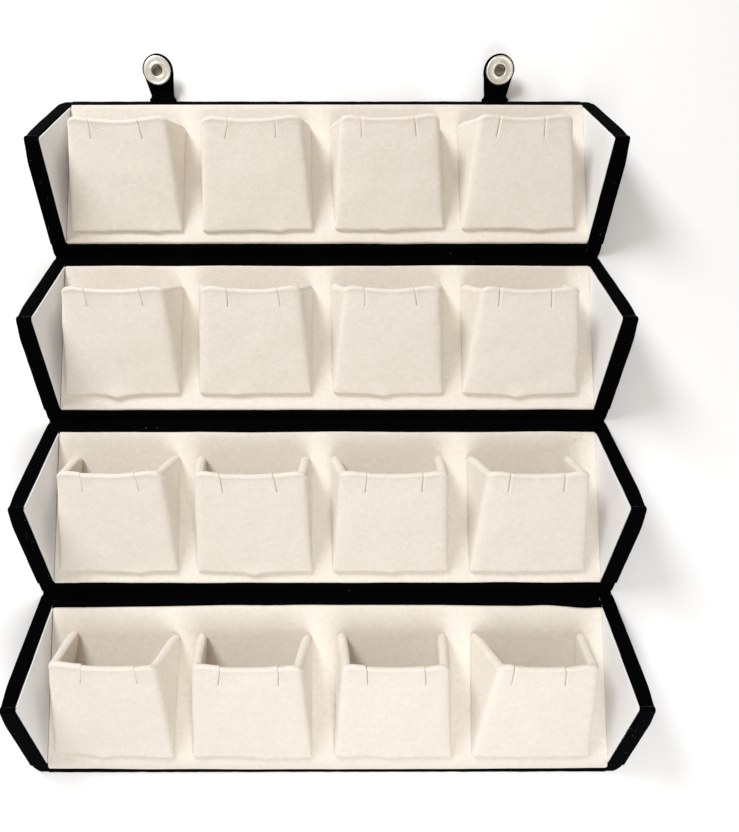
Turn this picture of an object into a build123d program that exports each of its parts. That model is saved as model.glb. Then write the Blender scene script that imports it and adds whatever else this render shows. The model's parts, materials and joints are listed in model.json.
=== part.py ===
from build123d import *
from math import cos, radians, sin, sqrt, tan
import os

os.makedirs("parts", exist_ok=True)

# A roll-up case for jewellery, open and lying on its back. X runs along the sections, +Y is the
# edge with the straps, +Z is up. Sizes are in millimetres.

# Layout of the four sections
section_count = 4
section_pitch = 76.2
overall_length = 250.0

# Back of a section: a stiff board in a velvet cover
velvet = 0.6
board_thickness = 2.0
fold_gap = 0.2
flap_gap = 0.05
cover_turn_over = 12.0
cover_edge_radius = 0.5

# Velvet strip in each hinge
strip_gap = 0.05
strip_side_gap = 0.1

# Cream insert on the front of the board
insert_thickness = 1.9
insert_margin = 2.0
insert_end_gap = 0.3
insert_corner_radius = 1.0

# Triangular end caps
cap_thickness = 5.0
cap_fold_gap = 0.3
cap_foot_radius = 0.3
cap_apex_radius = 1.5
cap_core_clearance = 0.05
lining_thickness = 0.6
lining_inset = 0.7

# Pockets, which are wedges of velvet covered card
pocket_count = 4
pocket_gap = 9.0
pocket_end_margin = 5.6
pocket_row_offset = -1.5
pocket_bottom_margin = 5.0
pocket_top_margin = 11.1
pocket_front_setback = 6.9
pocket_height = 22.6
pocket_lip = 1.8
pocket_wall = 1.6
pocket_hem = 5.0
pocket_ear_inset = 1.7
pocket_front_inset = 4.3
pocket_edge_dip = 2.2
slit_spacing = 22.0
slit_length = 8.5
slit_width = 0.8

# Straps at the free edge of section 1
strap_end_distance = 45.5
strap_row_offset = 0.8
strap_width = 10.2
strap_thickness = 1.4
strap_head_radius = 7.15
strap_reach = 11.55
strap_rest_tilt = 26.0
strap_back_gap = 0.25
strap_root_gap = 0.3
strap_root_seat = 12.0
strap_root_clearance = 0.1

# Snaps: a socket and its rivet on each strap, and a stud in the back of section 4
socket_radius = 6.15
socket_thickness = 1.8
socket_bore_radius = 2.5
socket_edge_radius = 0.4
rivet_head_radius = 1.8
rivet_head_height = 0.45
rivet_shank_radius = 1.1
rivet_hole_clearance = 0.05
rivet_plate_radius = 4.0
rivet_plate_thickness = 0.5
stud_recess_clearance = 0.5
stud_recess_depth = 2.0
stud_plate_clearance = 0.3
stud_plate_thickness = 0.4
stud_nub_clearance = 0.45
stud_nub_height = 1.2

# Heights above the table, and half widths across a section
half_pitch = section_pitch / 2
board_bottom = velvet
board_top = board_bottom + board_thickness
back_thickness = board_top + velvet
insert_top = back_thickness + insert_thickness
covered_half_width = half_pitch - back_thickness - fold_gap
board_half_width = covered_half_width - velvet
insert_half_width = covered_half_width - insert_margin

# Places along X, from the middle of the case to its end
half_length = overall_length / 2
cap_inner_x = half_length - cap_thickness
lining_inner_x = cap_inner_x - lining_thickness
insert_half_length = lining_inner_x - insert_end_gap

# The cap is a triangle inside the two fold planes, which rise at 45 degrees from the hinges
cap_half_width = half_pitch - cap_fold_gap
cap_foot_y = cap_half_width - cap_foot_radius * (1 / tan(radians(22.5)) - 1)

# Wedge of a pocket, across the section (y) and above the table (z)
pocket_bottom_y = pocket_bottom_margin - insert_half_width
pocket_ear_y = insert_half_width - pocket_top_margin
pocket_front_y = pocket_ear_y - pocket_front_setback
pocket_front_z = insert_top + pocket_height
pocket_lip_z = insert_top + pocket_lip
pocket_free_length = 2 * (insert_half_length - pocket_end_margin)
pocket_width = (pocket_free_length - (pocket_count - 1) * pocket_gap) / pocket_count
pocket_pitch = pocket_width + pocket_gap

# Straps: the axis of each is outside the back of section 4 when the case is closed
strap_axis_y = half_pitch + strap_back_gap + strap_thickness / 2
strap_axis_z = board_bottom + strap_thickness / 2
strap_root_end_y = strap_axis_y - strap_thickness / 2 - strap_root_gap
strap_root_inner_y = board_half_width - strap_root_seat
strap_tip_y = (
    strap_axis_y
    + (strap_reach + strap_head_radius) * cos(radians(strap_rest_tilt))
    + strap_thickness / 2 * sin(radians(strap_rest_tilt))
)
stud_y = strap_axis_z + strap_reach - half_pitch
stud_recess_radius = socket_radius + stud_recess_clearance
stud_plate_radius = stud_recess_radius - stud_plate_clearance
stud_nub_radius = socket_bore_radius - stud_nub_clearance

# The origin is under the middle of the whole case, with its straps
section_reach = (section_count - 1) / 2 * section_pitch
origin_shift_y = -((section_reach + strap_tip_y) - (section_reach + cap_foot_y)) / 2


def section_y(number):
    """Place of the middle line of a section, section 1 at the straps."""
    return section_reach - (number - 1) * section_pitch + origin_shift_y


def hinge_y(number):
    """Place of the hinge between a section and the next one."""
    return section_y(number) - half_pitch


def strap_x(side):
    """Place of a strap along X, and of the stud that it closes on."""
    return side * (half_length - strap_end_distance) + strap_row_offset


def along_x(profile, start, end):
    """A solid with the (y, z) profile, from one x to another."""
    return Pos(start, 0, 0) * extrude(Plane.YZ * profile, amount=end - start)


def strip(y_low, y_high, z_low, z_high):
    """A rectangle in (y, z)."""
    return Pos((y_low + y_high) / 2, (z_low + z_high) / 2) * Rectangle(y_high - y_low, z_high - z_low)


def strap_slot(side, clearance):
    """The space of a strap's root, which lies on the back velvet, under the board."""
    half_width = strap_width / 2 + clearance
    profile = strip(strap_root_inner_y, strap_root_end_y, board_bottom, board_bottom + strap_thickness)
    return along_x(profile, strap_x(side) - half_width, strap_x(side) + half_width)


def stud_recess(side):
    """The round recess for a snap in the back of section 4."""
    return Pos(strap_x(side), stud_y, stud_recess_depth / 2) * Cylinder(
        stud_recess_radius, stud_recess_depth
    )


def hinge_flap(direction):
    """The velvet beyond the board, out to a hinge, cut at the fold plane."""
    outer = half_pitch - flap_gap
    points = [
        (covered_half_width - velvet, 0),
        (outer, 0),
        (outer - velvet, velvet),
        (covered_half_width - velvet, velvet),
    ]
    return make_face(Polyline([(direction * y, z) for y, z in points], close=True))


def back_cover(number):
    """The velvet round the back and the long edges of a section's board."""
    profile = RectangleRounded(2 * covered_half_width, back_thickness, cover_edge_radius)
    profile = Pos(0, back_thickness / 2) * profile
    open_half_width = covered_half_width - cover_turn_over
    profile -= strip(-board_half_width, board_half_width, board_bottom, board_top)
    profile -= strip(-open_half_width, open_half_width, board_bottom, back_thickness + velvet)
    if number > 1:
        profile += hinge_flap(1)
    if number < section_count:
        profile += hinge_flap(-1)
    cover = along_x(profile, -cap_inner_x, cap_inner_x)
    return cut_for_closure(cover, number)


def back_board(number):
    """The stiff board inside the cover."""
    profile = strip(-board_half_width, board_half_width, board_bottom, board_top)
    board = along_x(profile, -cap_inner_x, cap_inner_x)
    return cut_for_closure(board, number)


def cut_for_closure(piece, number):
    """Slots for the straps in section 1, and recesses for the studs in section 4."""
    for side in (-1, 1):
        if number == 1:
            piece -= strap_slot(side, strap_root_clearance)
        if number == section_count:
            piece -= stud_recess(side)
    return piece


def insert_panel():
    """The cream panel that carries the pockets."""
    outline = RectangleRounded(2 * insert_half_length, 2 * insert_half_width, insert_corner_radius)
    return Pos(0, 0, back_thickness) * extrude(outline, amount=insert_thickness)


def cap_outline():
    """The triangle of an end cap, with its corners rounded."""
    corners = [(-cap_half_width, 0), (cap_half_width, 0), (0, cap_half_width)]
    triangle = make_face(Polyline(corners, close=True))
    triangle = fillet(triangle.vertices().sort_by(Axis.Y)[-1], cap_apex_radius)
    feet = triangle.vertices().group_by(Axis.Y)[0]
    return fillet(feet, cap_foot_radius)


def inset_triangle(inset, foot):
    """The cap's triangle, moved in from its sloping sides, above the height of its foot."""
    half_width = cap_half_width - inset * sqrt(2)
    points = [(foot - half_width, foot), (half_width - foot, foot), (0, half_width)]
    return make_face(Polyline(points, close=True))


def cap_piece(side, profile, start, end):
    """A solid with the (y, z) profile, from one distance to another along the left or right end."""
    low, high = sorted((side * start, side * end))
    return along_x(profile, low, high)


def cap_core(side, clearance):
    """The stiff board inside an end cap, smaller than its space in the velvet by a clearance."""
    inset = velvet + clearance
    return cap_piece(side, inset_triangle(inset, inset), cap_inner_x, half_length - inset)


def cap_skin(side):
    """The black velvet round the core of an end cap, open towards the lining."""
    return cap_piece(side, cap_outline(), cap_inner_x, half_length) - cap_core(side, 0)


def cap_lining(side):
    """The pale card on the inner face of an end cap."""
    return cap_piece(side, inset_triangle(lining_inset, back_thickness), lining_inner_x, cap_inner_x)


def pocket_sides(wall):
    """The space between a pocket's two wings, which lean in from bottom to top."""
    half_width = pocket_width / 2 - wall
    slope = pocket_ear_inset / (pocket_ear_y - pocket_bottom_y)
    front_half_width = pocket_width / 2 - pocket_front_inset
    foot_half_width = pocket_width / 2 - slope * (pocket_front_y - pocket_bottom_y)
    lean = (foot_half_width - front_half_width) / (pocket_front_z - insert_top)
    beyond = pocket_width / 2
    layers = []
    for z in (board_bottom, pocket_front_z + pocket_wall):
        low = half_width + slope * beyond - lean * (z - insert_top)
        high = half_width - slope * (pocket_ear_y - pocket_bottom_y + beyond) - lean * (z - insert_top)
        bottom, top = pocket_bottom_y - beyond, pocket_ear_y + beyond
        points = [(-low, bottom), (low, bottom), (high, top), (-high, top)]
        layers.append(Pos(0, 0, z) * make_face(Polyline(points, close=True)))
    return loft(layers, ruled=True)


def pocket_front_plane():
    """The plane of a pocket's front, from the middle of its top edge, with y up the front."""
    run = pocket_front_y - pocket_bottom_y
    rise = pocket_front_z - pocket_lip_z
    return Plane(origin=(0, pocket_front_y, pocket_front_z), x_dir=(1, 0, 0), z_dir=(0, -rise, run))


def pocket():
    """A wedge of velvet covered card, open at the top, with two slits in its front edge."""
    half_width = pocket_width / 2
    wedge = make_face(
        Polyline(
            (pocket_bottom_y, insert_top),
            (pocket_ear_y, insert_top),
            (pocket_front_y, pocket_front_z),
            (pocket_bottom_y, pocket_lip_z),
            close=True,
        )
    )
    shell = along_x(wedge, -half_width, half_width) & pocket_sides(0)

    # The hollow lies behind the front card and stops at the hem that is glued down
    run = pocket_front_y - pocket_bottom_y
    rise = pocket_front_z - pocket_lip_z
    drop = pocket_wall * sqrt(run**2 + rise**2) / run
    hem_y = pocket_bottom_y + pocket_hem
    beyond_y = pocket_ear_y + pocket_hem
    hem_z = pocket_lip_z + pocket_hem * rise / run - drop
    beyond_z = hem_z + (beyond_y - hem_y) * rise / run
    hollow = make_face(
        Polyline(
            (hem_y, board_bottom),
            (beyond_y, board_bottom),
            (beyond_y, beyond_z),
            (hem_y, hem_z),
            close=True,
        )
    )
    shell -= along_x(hollow, -half_width, half_width) & pocket_sides(pocket_wall)

    # The top edge of the front dips in the middle, and has a slit at each side
    front = pocket_front_plane()
    front_half_width = half_width - pocket_front_inset
    dip_radius = (front_half_width**2 + pocket_edge_dip**2) / (2 * pocket_edge_dip)
    dip = Pos(0, dip_radius - pocket_edge_dip) * Circle(dip_radius)
    dip &= Rectangle(2 * (front_half_width - pocket_wall), 2 * pocket_edge_dip)
    shell -= extrude(front * dip, amount=2 * pocket_wall, both=True)
    for side in (-1, 1):
        slit = Pos(side * slit_spacing / 2, 0) * Rectangle(slit_width, 2 * slit_length)
        shell -= extrude(front * slit, amount=2 * pocket_wall, both=True)
    return shell


def on_strap(piece, side):
    """Turns a piece from the flat, with its origin on the strap's axis, to its place at rest."""
    place = Pos(strap_x(side), strap_axis_y, strap_axis_z) * Rot(X=strap_rest_tilt)
    return place * piece


def strap():
    """The moving part of a strap, flat, with its root end round its axis."""
    root = Edge.make_line((-strap_width / 2, 0), (strap_width / 2, 0))
    head = Pos(0, strap_reach) * Circle(strap_head_radius)
    outline = make_hull([root, *head.edges()])
    body = extrude(outline, amount=strap_thickness / 2, both=True)
    body += Rot(Y=90) * Cylinder(strap_thickness / 2, strap_width)
    hole = Cylinder(rivet_shank_radius + rivet_hole_clearance, 2 * strap_thickness)
    return body - Pos(0, strap_reach, 0) * hole


def upward_disc(radius, z_low, z_high):
    """A round solid over the middle of the strap's head, from one height to another."""
    return Pos(0, strap_reach, (z_low + z_high) / 2) * Cylinder(radius, z_high - z_low)


def snap_socket():
    """The nickel disc on the face of a strap, with a hole for the stud."""
    face = strap_thickness / 2
    disc = upward_disc(socket_radius, face, face + socket_thickness)
    rim = disc.edges().group_by(Axis.Z)[-1]
    disc = fillet(rim, socket_edge_radius)
    return disc - upward_disc(socket_bore_radius, face - socket_thickness, face + 2 * socket_thickness)


def snap_rivet():
    """The rivet in the middle of a socket, through the strap, with a plate on its other face."""
    face = strap_thickness / 2
    rivet = upward_disc(rivet_shank_radius, -face, face)
    rivet += upward_disc(rivet_head_radius, face, face + rivet_head_height)
    return rivet + upward_disc(rivet_plate_radius, -face - rivet_plate_thickness, -face)


def snap_studs():
    """The two studs in the back of section 4, each a plate with a nub."""
    plate_bottom = stud_recess_depth - stud_plate_thickness
    studs = []
    for side in (-1, 1):
        plate = Pos(0, 0, stud_recess_depth - stud_plate_thickness / 2) * Cylinder(
            stud_plate_radius, stud_plate_thickness
        )
        nub = Pos(0, 0, plate_bottom - stud_nub_height / 2) * Cylinder(stud_nub_radius, stud_nub_height)
        studs.append(Pos(strap_x(side), stud_y, 0) * (plate + nub))
    return Compound(children=studs)


def hinge_strip():
    """The velvet strip on the inside of a hinge, lying on the two flaps."""
    half_width = half_pitch - covered_half_width - strip_side_gap
    profile = strip(-half_width, half_width, velvet + strip_gap, 2 * velvet + strip_gap)
    return along_x(profile, -lining_inner_x, lining_inner_x)


nodes = {}
for number in range(1, section_count + 1):
    place = Pos(0, section_y(number), 0)
    name = f"section_{number}"
    nodes[f"{name}_back_board"] = place * back_board(number)
    nodes[f"{name}_velvet_cover"] = place * back_cover(number)
    nodes[f"{name}_insert"] = place * insert_panel()
    cores = Compound(children=[cap_core(side, cap_core_clearance) for side in (-1, 1)])
    nodes[f"{name}_end_cap_cores"] = place * cores
    for side, side_name in ((-1, "left"), (1, "right")):
        nodes[f"{name}_end_cap_{side_name}"] = place * cap_skin(side)
        nodes[f"{name}_lining_{side_name}"] = place * cap_lining(side)
    for index in range(pocket_count):
        pocket_x = pocket_row_offset + (index - (pocket_count - 1) / 2) * pocket_pitch
        nodes[f"{name}_pocket_{index + 1}"] = place * (Pos(pocket_x, 0, 0) * pocket())

for number in range(1, section_count):
    place = Pos(0, hinge_y(number), 0)
    nodes[f"hinge_{number}{number + 1}_strip"] = place * hinge_strip()

first_section = Pos(0, section_y(1), 0)
roots = Compound(children=[strap_slot(-1, 0), strap_slot(1, 0)])
nodes["strap_roots"] = first_section * roots
for side, side_name in ((-1, "left"), (1, "right")):
    nodes[f"strap_{side_name}"] = first_section * on_strap(strap(), side)
    nodes[f"snap_socket_{side_name}"] = first_section * on_strap(snap_socket(), side)
    nodes[f"snap_rivet_{side_name}"] = first_section * on_strap(snap_rivet(), side)
nodes["snap_studs"] = Pos(0, section_y(section_count), 0) * snap_studs()

for node_name, shape in nodes.items():
    export_step(shape, f"parts/{node_name}.step")
print(len(nodes), "nodes, origin shift", round(origin_shift_y, 3))
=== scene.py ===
import json
from math import cos, exp, hypot, pi, radians, sin, sqrt, tan

import bpy
from mathutils import Matrix, Vector, noise


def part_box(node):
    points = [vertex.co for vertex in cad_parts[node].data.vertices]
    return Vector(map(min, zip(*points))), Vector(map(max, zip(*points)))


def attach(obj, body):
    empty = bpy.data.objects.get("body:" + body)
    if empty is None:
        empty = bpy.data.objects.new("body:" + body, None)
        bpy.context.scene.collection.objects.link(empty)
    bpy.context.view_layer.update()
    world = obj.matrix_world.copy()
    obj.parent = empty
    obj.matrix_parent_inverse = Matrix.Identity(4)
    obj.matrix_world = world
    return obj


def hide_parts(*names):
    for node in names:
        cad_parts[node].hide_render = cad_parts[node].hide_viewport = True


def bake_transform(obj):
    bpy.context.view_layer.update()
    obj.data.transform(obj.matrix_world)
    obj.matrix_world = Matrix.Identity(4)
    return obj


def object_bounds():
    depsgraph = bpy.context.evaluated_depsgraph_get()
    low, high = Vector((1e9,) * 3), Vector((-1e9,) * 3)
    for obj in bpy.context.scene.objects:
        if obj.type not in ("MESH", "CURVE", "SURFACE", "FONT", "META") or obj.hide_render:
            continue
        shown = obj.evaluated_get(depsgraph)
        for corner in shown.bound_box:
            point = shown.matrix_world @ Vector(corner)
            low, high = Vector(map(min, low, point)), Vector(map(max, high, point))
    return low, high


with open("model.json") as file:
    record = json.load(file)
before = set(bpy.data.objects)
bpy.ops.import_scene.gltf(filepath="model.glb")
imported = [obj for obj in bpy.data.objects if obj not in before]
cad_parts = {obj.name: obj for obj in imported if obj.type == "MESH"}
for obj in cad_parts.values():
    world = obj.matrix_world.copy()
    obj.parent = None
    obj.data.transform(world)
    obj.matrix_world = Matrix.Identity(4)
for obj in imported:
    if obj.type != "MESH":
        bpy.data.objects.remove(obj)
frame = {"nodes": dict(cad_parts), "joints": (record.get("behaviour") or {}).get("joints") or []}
cad_low, cad_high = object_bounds()


# Backs. Each section has a stiff grey card, wrapped in black velvet that goes round its underside and
# long edges and is glued down on the front, where the insert hides the raw ends of the turn-over. The
# two free edges slope, so that they meet in a mitre when the case is closed.
sections = (1, 2, 3, 4)
board_low, board_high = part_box("section_2_back_board")
section_half_pitch = frame["joints"][0]["pos_m"][1] - (board_low.y + board_high.y) / 2
velvet = board_low.z
cover_half_width = (board_high.y - board_low.y) / 2 + velvet
cover_top = board_high.z + velvet
turn_over = 0.012
cover_corner = 0.0008
hinge_corner = 0.0002
mitre_corner = 0.0002
mitre_foot = 0.0001
mitre_inset = {"near": 0.00045, "far": 0.0001}
least_corner = 0.0001
corner_share = 0.45
cover_station = 0.0025
cover_steps = 5
bottom_steps = 28
recess_bottom_steps = 100
recess_station = 0.0007
recess_depth = 0.002
recess_edge = 0.0006
recess_cloth = 0.00006
recess_gap = 0.0003
pile_ripple = 0.00012
pile_ripple_size = 0.004
ripple_asides = (0.0, 31.7, 57.3)
ripple_seeds = (7.3, 3.1, 5.7)
velvet_black = (0.0004, 0.0004, 0.0006, 1)
velvet_leaning = (0.0018, 0.0018, 0.0024, 1)
velvet_sheen = (0.55, 0.60, 0.75, 1)
lint_colour = (0.085, 0.083, 0.082, 1)


def section_middle(number):
    """Place of a section's middle line across the case."""
    low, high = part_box(f"section_{number}_back_board")
    return (low.y + high.y) / 2


def rounded_path(corners, radii, run_steps, arc_steps=5):
    """Points along an open line through flat corners, each turned by an arc, with steps on each run."""
    corners = [Vector(corner) for corner in corners]
    path = [corners[0]]

    def run_to(point, steps):
        start = path[-1]
        path.extend(start.lerp(point, step / steps) for step in range(1, steps + 1))

    turns = zip(corners, corners[1:], corners[2:], radii, run_steps)
    for before, corner, after, radius, steps in turns:
        back, forward = (before - corner).normalized(), (after - corner).normalized()
        half_turn = back.angle(forward) / 2
        room = corner_share * min((before - corner).length, (after - corner).length)
        reach = min(radius / tan(half_turn), room)
        enter, leave = corner + back * reach, corner + forward * reach
        run_to(enter, steps)
        for step in range(1, arc_steps + 1):
            share = step / arc_steps
            path.append(enter.lerp(corner, share).lerp(corner.lerp(leave, share), share))
    run_to(corners[-1], run_steps[-1])
    return path


def stations(start, end, step):
    """Evenly spaced places from start to end, both included."""
    count = max(1, round(abs(end - start) / step))
    return [start + (end - start) * index / count for index in range(count + 1)]


def ripple(point, amount, size, seed=0):
    """The point, moved a little by a smooth noise, as soft cloth never lies quite true."""
    where = point / size + Vector([seed * part for part in ripple_seeds])
    push = [noise.noise(where + Vector((aside, -aside, aside))) for aside in ripple_asides]
    return point + Vector(push) * amount


def new_mesh(name, points, lines, faces):
    """A mesh of points, with lines or faces between them."""
    mesh = bpy.data.meshes.new(name)
    mesh.from_pydata([tuple(point) for point in points], lines, faces)
    mesh.update()
    return mesh


def mesh_of_rings(name, rings):
    """A mesh through rings that have the same number of points each, with its ends closed."""
    count = len(rings[0])
    points = [point for ring in rings for point in ring]
    faces = []
    for ring in range(len(rings) - 1):
        base, above = ring * count, (ring + 1) * count
        for index in range(count):
            beside = (index + 1) % count
            faces.append((base + index, base + beside, above + beside, above + index))
    faces.append(tuple(range(count))[::-1])
    faces.append(tuple(range(len(points) - count, len(points))))
    return new_mesh(name, points, [], faces)


def add_object(name, data):
    """An object in the scene that holds a mesh, a lamp or a camera."""
    added = bpy.data.objects.new(name, data)
    bpy.context.scene.collection.objects.link(added)
    return added


def settled_mesh(holder):
    """The mesh of an object after its modifier; the object itself is taken away."""
    graph = bpy.context.evaluated_depsgraph_get()
    settled = bpy.data.meshes.new_from_object(holder.evaluated_get(graph))
    bpy.data.objects.remove(holder)
    return settled


def add_piece(name, mesh, material):
    """The finished piece, with its mesh in place and its faces pointing outwards."""
    mesh.materials.append(material)
    for polygon in mesh.polygons:
        polygon.use_smooth = True
    piece = add_object(name, mesh)
    if signed_volume(mesh) < 0:
        mesh.flip_normals()
    return piece


def signed_volume(mesh):
    """Six times the volume inside a closed mesh, below zero where its faces point inwards."""
    total = 0.0
    for polygon in mesh.polygons:
        first, *others = [mesh.vertices[index].co for index in polygon.vertices]
        for second, third in zip(others, others[1:]):
            total += first.dot(second.cross(third))
    return total


def shader_group(name, inputs, outputs):
    """An empty node group for an effect that materials share, with a place and its named values."""
    group = bpy.data.node_groups.new(name, "ShaderNodeTree")
    group.interface.new_socket("Vector", in_out="INPUT", socket_type="NodeSocketVector")
    for label, value in inputs.items():
        socket = group.interface.new_socket(label, in_out="INPUT", socket_type="NodeSocketFloat")
        socket.default_value = value
    for label in outputs:
        group.interface.new_socket(label, in_out="OUTPUT", socket_type="NodeSocketFloat")
    return group, group.nodes.new("NodeGroupInput").outputs, group.nodes.new("NodeGroupOutput").inputs


def add_node(tree, kind, values=None, **settings):
    """A node with its settings, and its inputs set or linked by name or number."""
    node = tree.nodes.new(kind)
    for setting, value in settings.items():
        setattr(node, setting, value)
    for key, value in (values or {}).items():
        if isinstance(value, bpy.types.NodeSocket):
            tree.links.new(value, node.inputs[key])
        else:
            node.inputs[key].default_value = value
    return node


def maths(tree, operation, first, second):
    """The socket of a sum with two values or sockets."""
    return add_node(tree, "ShaderNodeMath", {0: first, 1: second}, operation=operation).outputs[0]


def cloud(tree, place, scale, detail, **values):
    """The socket of a noise texture's value."""
    values = {"Vector": place, "Scale": scale, "Detail": detail, **values}
    return add_node(tree, "ShaderNodeTexNoise", values).outputs["Fac"]


def ranged(tree, value, **limits):
    """The socket of a value after its range is changed."""
    limits = {limit.replace("_", " "): number for limit, number in limits.items()}
    return add_node(tree, "ShaderNodeMapRange", {"Value": value, **limits}).outputs[0]


def make_pile_group():
    """Nap of velvet: soft patches where the pile leans, and its fine grain."""
    group, given, result = shader_group(
        "pile", {"Patch Scale": 260.0, "Grain Scale": 2200.0, "Patch Share": 0.5}, ["Lean", "Height"]
    )
    patches = cloud(group, given["Vector"], given["Patch Scale"], 3.0, Roughness=0.55)
    grain = cloud(group, given["Vector"], given["Grain Scale"], 2.0, Roughness=0.7)
    shares = {0: given["Patch Share"], 2: grain, 3: patches}
    lean = add_node(group, "ShaderNodeMix", shares, data_type="FLOAT").outputs[0]
    group.links.new(lean, result["Lean"])
    group.links.new(maths(group, "MULTIPLY", grain, lean), result["Height"])
    return group


def make_lint_group():
    """Specks of lint: the middles of a few cells, chosen by the cells' own chance."""
    group, given, result = shader_group("lint", {"Scale": 300.0, "Size": 0.12, "Share": 0.1}, ["Mask"])
    cells = add_node(group, "ShaderNodeTexVoronoi", {"Vector": given["Vector"], "Scale": given["Scale"]})
    near = maths(group, "LESS_THAN", cells.outputs["Distance"], given["Size"])
    chance = add_node(group, "ShaderNodeSeparateColor", {0: cells.outputs["Color"]}).outputs[0]
    chosen = maths(group, "LESS_THAN", chance, given["Share"])
    group.links.new(maths(group, "MULTIPLY", near, chosen), result["Mask"])
    return group


pile_group = make_pile_group()
lint_group = make_lint_group()


def new_material(name, roughness, **fixed):
    """A material with its shader's fixed sockets set, and its Object coordinates."""
    material = bpy.data.materials.new(name)
    material.use_nodes = True
    tree = material.node_tree
    shader = tree.nodes["Principled BSDF"]
    shader.inputs["Roughness"].default_value = roughness
    for socket, value in fixed.items():
        shader.inputs[socket.replace("_", " ")].default_value = value
    coordinates = tree.nodes.new("ShaderNodeTexCoord").outputs["Object"]
    return material, tree, shader, coordinates


def mix_colour(tree, share, first, second):
    """The socket of a colour between two others."""
    node = add_node(tree, "ShaderNodeMix", {0: share, 6: first, 7: second}, data_type="RGBA")
    return node.outputs[2]


def add_bump(tree, shader, height, strength, distance):
    """Fine relief on a surface."""
    bump = add_node(tree, "ShaderNodeBump", {"Height": height, "Strength": strength, "Distance": distance})
    tree.links.new(bump.outputs["Normal"], shader.inputs["Normal"])


def clouded_material(name, roughness, scale, detail, colours, relief=None, **fixed):
    """A material whose colour drifts between two, with a fine relief if it has one."""
    material, tree, shader, place = new_material(name, roughness, **fixed)
    drift = cloud(tree, place, scale, detail)
    tree.links.new(mix_colour(tree, drift, *colours), shader.inputs["Base Color"])
    if relief:
        relief_scale, relief_detail, strength, distance = relief
        add_bump(tree, shader, cloud(tree, place, relief_scale, relief_detail), strength, distance)
    return material, tree, shader, drift


def make_black_velvet():
    """Black velvet, which swallows nearly all light but for lint and a worn nap."""
    material, tree, shader, place = new_material(
        "black_velvet",
        0.95,
        Specular_IOR_Level=0.012,
        Sheen_Weight=0.009,
        Sheen_Roughness=0.35,
        Sheen_Tint=velvet_sheen,
    )
    pile = add_node(tree, "ShaderNodeGroup", {"Vector": place, "Patch Scale": 180.0}, node_tree=pile_group)
    nap = mix_colour(tree, pile.outputs["Lean"], velvet_black, velvet_leaning)
    lint = add_node(
        tree,
        "ShaderNodeGroup",
        {"Vector": place, "Scale": 210.0, "Size": 0.06, "Share": 0.045},
        node_tree=lint_group,
    )
    dusty = mix_colour(tree, lint.outputs["Mask"], nap, lint_colour)
    tree.links.new(dusty, shader.inputs["Base Color"])
    add_bump(tree, shader, pile.outputs["Height"], 0.6, 0.0004)
    return material


black_velvet = make_black_velvet()


def cover_outline(free_near, free_far, steps_below):
    """Outline of a cover in (y, z): upright beside a hinge, and a long slope at a free edge."""
    layers = []
    for inset in (0, velvet):
        top, raw_end = cover_top - inset, cover_half_width - turn_over
        shoulders, feet = [], []
        for free, edge_name in ((free_near, "near"), (free_far, "far")):
            shoulder = cover_half_width - mitre_inset[edge_name] - inset * (sqrt(2) - 1)
            shoulders.append(shoulder if free else cover_half_width - inset)
            foot = cover_half_width + cover_top + mitre_foot - inset * (1 + sqrt(2))
            feet.append(foot if free else shoulders[-1])
        hinge = max(hinge_corner - inset, least_corner)
        corners = [(-raw_end, top), (-shoulders[0], top), (-feet[0], inset)]
        corners += [(feet[1], inset), (shoulders[1], top), (raw_end, top)]
        lower = [mitre_corner if free else hinge for free in (free_near, free_far)]
        steps = [cover_steps, cover_steps, steps_below, cover_steps, cover_steps]
        layers.append(rounded_path(corners, [cover_corner, *lower, cover_corner], steps))
    return layers[0] + layers[1][::-1]


# The last back has two round recesses for the studs, which the velvet lines
studs_low, studs_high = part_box("snap_studs")
stud_radius = (studs_high.y - studs_low.y) / 2
stud_y = (studs_low.y + studs_high.y) / 2
stud_places = [studs_low.x + stud_radius, studs_high.x - stud_radius]
recess_radius = stud_radius + recess_gap


def into_recess(point):
    """A point of the last back's velvet, pressed into a recess if it lies at one."""
    for stud_x in stud_places:
        away = hypot(point.x - stud_x, point.y - stud_y)
        share = min(max((recess_radius + recess_edge - away) / recess_edge, 0), 1)
        if point.z < 2 * velvet and share > 0:
            sunk = recess_depth + (recess_cloth if point.z > velvet / 2 else 0)
            return Vector((point.x, point.y, point.z + (sunk - point.z) * share * share * (3 - 2 * share)))
    return point


for number in sections:
    middle = section_middle(number)
    recessed = number == sections[-1]
    steps_below = recess_bottom_steps if recessed else bottom_steps
    outline = cover_outline(recessed, number == sections[0], steps_below)
    places = stations(board_low.x, board_high.x, cover_station)
    if recessed:
        reach = recess_radius + 2 * recess_edge
        places = [x for x in places if all(abs(x - stud_x) > reach for stud_x in stud_places)]
        for stud_x in stud_places:
            places += stations(stud_x - reach, stud_x + reach, recess_station)
    rings = []
    for x in sorted(places):
        ring = [ripple(Vector((x, middle + y, z)), pile_ripple, pile_ripple_size) for y, z in outline]
        ring = [Vector((x, point.y, max(point.z, 0))) for point in ring]
        rings.append([into_recess(point) for point in ring] if recessed else ring)
    cover = add_piece(f"back_velvet_{number}", mesh_of_rings(f"back_velvet_{number}", rings), black_velvet)
    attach(cover, f"section_{number}")
    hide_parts(f"section_{number}_velvet_cover")


# Boards. Grey card stiffens the backs and the end caps; it is glued into the velvet, so that it
# only shows if the case is taken apart.
pulp_colours = (0.16, 0.155, 0.145, 1), (0.34, 0.33, 0.31, 1)
pulp_relief = (900.0, 5.0, 0.4, 0.0002)
grey_board = clouded_material("grey_board", 0.9, 900.0, 5.0, pulp_colours, pulp_relief)[0]

for number in sections:
    for node_name in (f"section_{number}_back_board", f"section_{number}_end_cap_cores"):
        node = frame["nodes"][node_name]
        node.data.materials.clear()
        node.data.materials.append(grey_board)


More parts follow.
